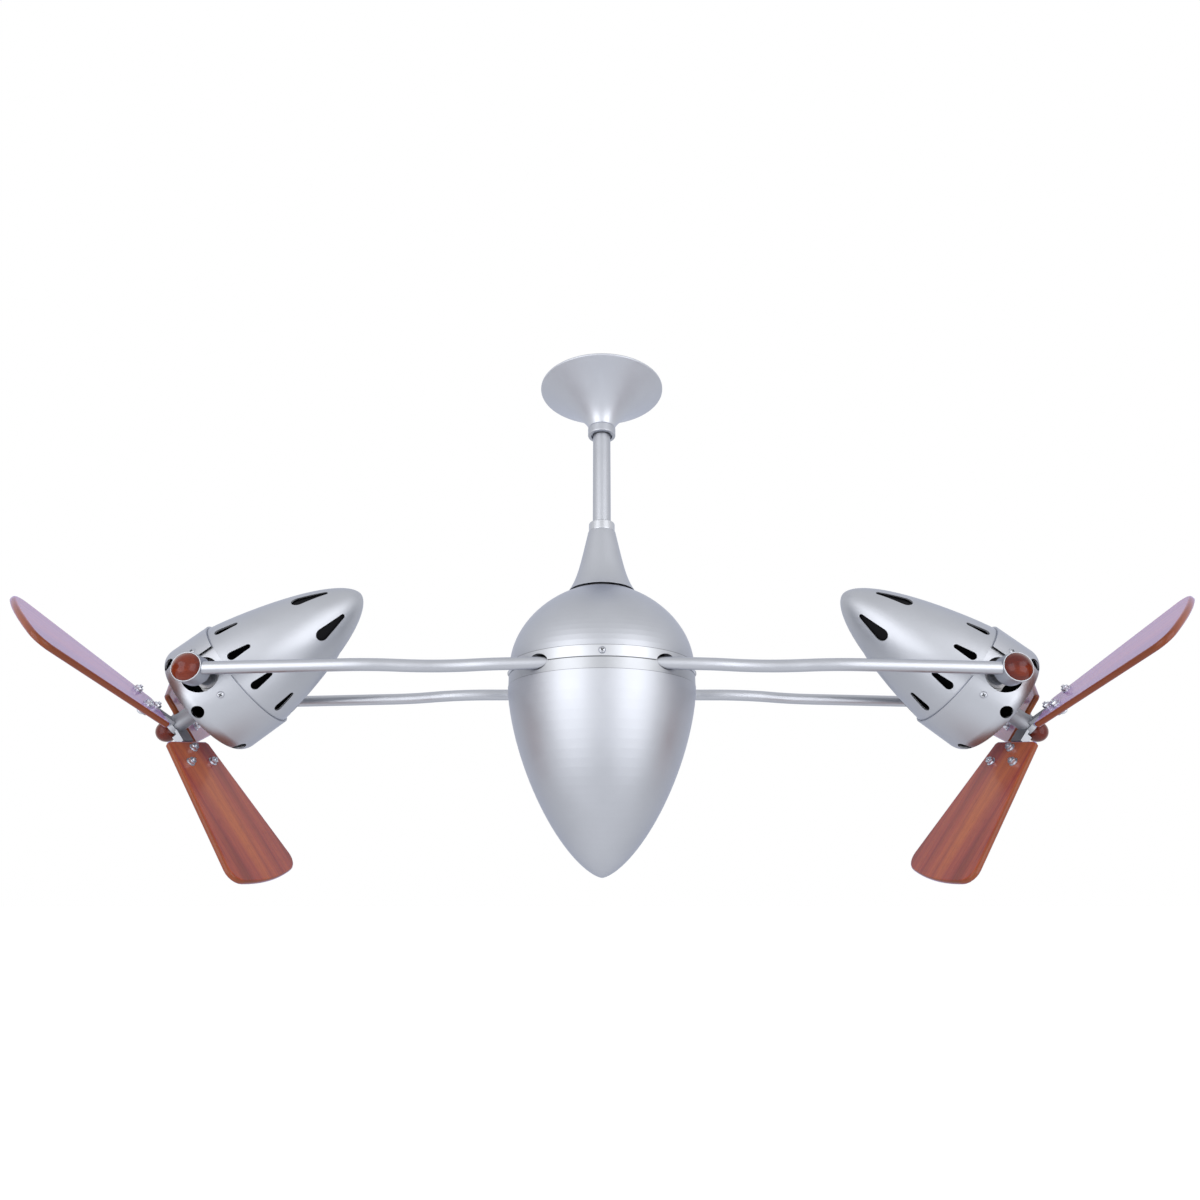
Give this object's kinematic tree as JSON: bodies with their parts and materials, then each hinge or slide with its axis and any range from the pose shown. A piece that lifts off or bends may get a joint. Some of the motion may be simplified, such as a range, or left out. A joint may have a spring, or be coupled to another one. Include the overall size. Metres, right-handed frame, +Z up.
{
  "type": "twin head ceiling fan",
  "caption": "Ceiling fan whose carousel turns below a downrod and carries two tilting vented motor heads on bent arms, each driving wooden blades.",
  "frame": {"origin": "middle of the ceiling mount, in the plane of the ceiling", "axes": "+Z up into the ceiling along the downrod, +X from the middle towards the right head, +Y towards the rear arms"},
  "size_m": [1.1066, 0.3764, 0.5749],
  "materials": {
    "satin_nickel": "satin, brushed round the axis",
    "bright_nickel": "bright, finely polished",
    "red_wood": "stained red-brown with a gloss varnish",
    "plain_steel": "machined",
    "galvanised_steel": "galvanised",
    "cast_aluminium": "as cast",
    "dark_paint": "matt black paint",
    "dark_plastic": "matt",
    "copper": "bare copper and varnished windings"
  },
  "bodies": {
    "ceiling_mount": {"hanger_bracket": "galvanised_steel", "hanger_ball": "dark_plastic", "downrod": "satin_nickel", "cross_pins": "plain_steel", "canopy": "satin_nickel", "canopy_collar": "satin_nickel", "lower_collar": "bright_nickel", "bell_cover": "satin_nickel", "spindle": "plain_steel", "slip_ring_core": "dark_plastic", "slip_rings": "copper", "spindle_nut": "plain_steel", "collar_set_screws": "plain_steel"},
    "carousel": {"dome": "satin_nickel", "upper_band": "bright_nickel", "lower_band": "bright_nickel", "lower_cone": "satin_nickel", "arm_carrier": "cast_aluminium", "arm_clamps": "cast_aluminium", "carousel_screws": "plain_steel", "main_bearings": "plain_steel", "brush_block": "dark_plastic", "arm_front_left": "satin_nickel", "arm_rear_left": "satin_nickel", "arm_front_right": "satin_nickel", "arm_rear_right": "satin_nickel", "pivot_sleeves": "satin_nickel", "pivot_caps": "red_wood"},
    "head_left": {"nose_shell_left": "satin_nickel", "tail_shell_left": "satin_nickel", "head_yoke_left": "cast_aluminium", "motor_housing_left": "dark_paint", "motor_stator_left": "copper", "motor_bearings_left": "plain_steel", "pivot_bolts_left": "plain_steel", "shell_screws_left": "plain_steel"},
    "head_right": {"nose_shell_right": "satin_nickel", "tail_shell_right": "satin_nickel", "head_yoke_right": "cast_aluminium", "motor_housing_right": "dark_paint", "motor_stator_right": "copper", "motor_bearings_right": "plain_steel", "pivot_bolts_right": "plain_steel", "shell_screws_right": "plain_steel"},
    "rotor_left": {"motor_shaft_left": "plain_steel", "blade_hub_left": "bright_nickel", "blade_upper_left": "red_wood", "blade_lower_left": "red_wood", "blade_rear_left": "red_wood", "blade_screws_left": "bright_nickel", "blade_nuts_left": "bright_nickel", "finial_left": "red_wood"},
    "rotor_right": {"motor_shaft_right": "plain_steel", "blade_hub_right": "bright_nickel", "blade_upper_right": "red_wood", "blade_lower_right": "red_wood", "blade_rear_right": "red_wood", "blade_screws_right": "bright_nickel", "blade_nuts_right": "bright_nickel", "finial_right": "red_wood"}
  },
  "joints": [
    {"name": "carousel_spin", "type": "hinge", "parent": "ceiling_mount", "child": "carousel", "pos_m": [0, 0, -0.365], "axis": [0, 0, 1], "continuous": true},
    {"name": "head_tilt_left", "type": "hinge", "parent": "carousel", "child": "head_left", "pos_m": [-0.404, 0, -0.37389], "axis": [0, 1, 0], "range_deg": [-51, 129]},
    {"name": "fan_spin_left", "type": "hinge", "parent": "head_left", "child": "rotor_left", "pos_m": [-0.404, 0, -0.37389], "axis": [-0.7771, 0, -0.6293], "continuous": true},
    {"name": "head_tilt_right", "type": "hinge", "parent": "carousel", "child": "head_right", "pos_m": [0.404, 0, -0.37389], "axis": [0, -1, 0], "range_deg": [-51, 129]},
    {"name": "fan_spin_right", "type": "hinge", "parent": "head_right", "child": "rotor_right", "pos_m": [0.404, 0, -0.37389], "axis": [0.7771, 0, -0.6293], "continuous": true}
  ]
}
